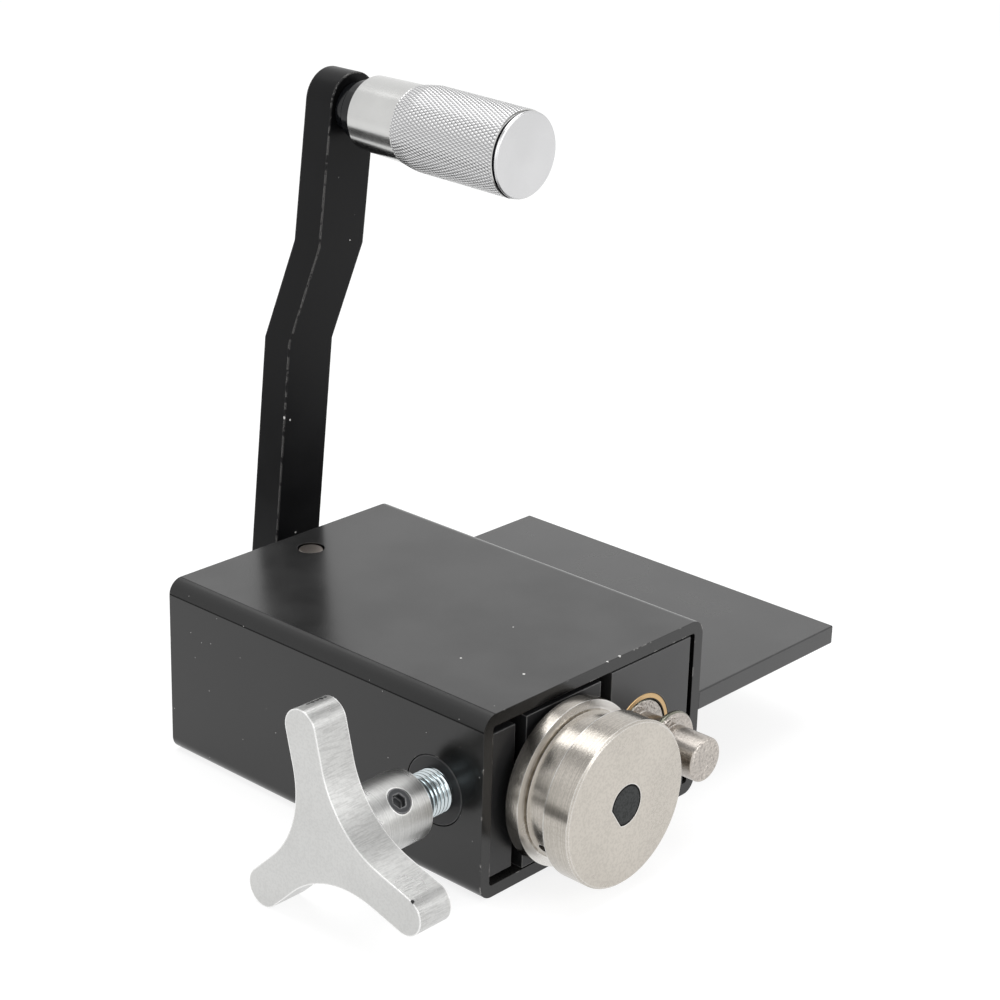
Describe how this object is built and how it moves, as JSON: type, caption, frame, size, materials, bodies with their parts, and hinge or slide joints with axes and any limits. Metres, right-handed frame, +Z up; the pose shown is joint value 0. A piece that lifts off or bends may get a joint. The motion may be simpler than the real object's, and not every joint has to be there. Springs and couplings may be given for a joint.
{
  "type": "bead roller",
  "caption": "Hand cranked bead roller: a box housing with a beading shaft, a grooved die on a swinging idler shaft, a star knob clamp screw and a plate for a bench vise.",
  "frame": {"origin": "centre of the housing's underside", "axes": "+Z up, -Y towards the dies at the front, +Y towards the crank, +X towards the mounting plate, -X towards the star knob"},
  "size_m": [0.2175, 0.2037, 0.211],
  "materials": {
    "black_satin": "satin black, worn at the front edges",
    "plate_black": "satin black",
    "weld_black": "satin black over a weld bead",
    "block_steel": "blackened milled steel",
    "slide_steel": "blackened milled steel, oily",
    "black_oxide": "black oxide",
    "bronze": "turned bearing bronze, dull",
    "ground_steel": "ground",
    "idler_steel": "turned, dull gunmetal",
    "die_steel": "turned, fine circular lines",
    "turned_steel": "turned, fine circular lines",
    "zinc_steel": "bright zinc plated",
    "knob_steel": "milled, broken edges",
    "crank_black": "satin black paint, chipped on the corners",
    "nut_black": "gloss black",
    "grip_alu": "turned and diamond knurled",
    "cap_alu": "turned face"
  },
  "bodies": {
    "frame": {"housing": "black_satin", "mount_plate": "plate_black", "plate_weld": "weld_black", "fixed_block": "block_steel", "fixed_block_screws": "black_oxide", "drive_front_bush": "bronze", "rear_block": "block_steel", "rear_block_screws": "black_oxide", "rear_block_dowel": "ground_steel", "drive_rear_bush": "bronze", "swivel_race": "ground_steel", "nut_block": "slide_steel"},
    "crank": {"bead_shaft": "turned_steel", "drive_thrust_washer": "bronze", "drive_collar": "black_oxide", "collar_set_screw": "black_oxide", "drive_snap_ring": "black_oxide", "crank_arm": "crank_black", "crank_washer": "zinc_steel", "crank_bolt": "black_oxide", "grip_spindle": "black_oxide", "spindle_collar": "nut_black", "grip_spacer": "nut_black"},
    "grip": {"grip_body": "grip_alu", "grip_cap": "cap_alu"},
    "carriage": {"sliding_block": "slide_steel", "idler_front_bush": "bronze", "idler_back_bush": "bronze", "keeper_plate": "slide_steel", "keeper_screws": "black_oxide", "swivel_ball": "bronze"},
    "idler": {"idler_shaft": "idler_steel", "grooved_die": "die_steel", "die_set_screw": "black_oxide", "idler_thrust_washer": "bronze", "idler_snap_ring": "black_oxide"},
    "thrust_pad": {"thrust_disc": "ground_steel"},
    "clamp": {"clamp_screw": "zinc_steel", "star_knob": "knob_steel", "knob_set_screw": "black_oxide"}
  },
  "joints": [
    {"name": "crank_turn", "type": "hinge", "parent": "frame", "child": "crank", "pos_m": [0.0217, 0, 0.03], "axis": [0, 1, 0], "continuous": true},
    {"name": "grip_spin", "type": "hinge", "parent": "crank", "child": "grip", "pos_m": [0.03697, 0.07464, 0.19779], "axis": [0.0022, 0.9997, 0.0243], "continuous": true},
    {"name": "block_swing", "type": "hinge", "parent": "frame", "child": "carriage", "pos_m": [-0.017, 0.05675, 0.03], "axis": [0, 0, 1], "range_deg": [-1.67, 1.84]},
    {"name": "idler_spin", "type": "hinge", "parent": "carriage", "child": "idler", "pos_m": [-0.017, 0, 0.03], "axis": [0, 1, 0], "continuous": true},
    {"name": "screw_advance", "type": "slide", "parent": "frame", "child": "thrust_pad", "axis": [1, 0, 0], "range_m": [-0.0031, 0.0034]},
    {"name": "screw_turn", "type": "hinge", "parent": "thrust_pad", "child": "clamp", "pos_m": [-0.05, -0.04925, 0.03], "axis": [1, 0, 0], "range_deg": [-740, 815]}
  ],
  "couplings": [
    {"joint": "screw_advance", "follows": "screw_turn", "m_per_rad": 0.00023873},
    {"joint": "block_swing", "follows": "screw_turn", "ratio": 0.0022522}
  ]
}
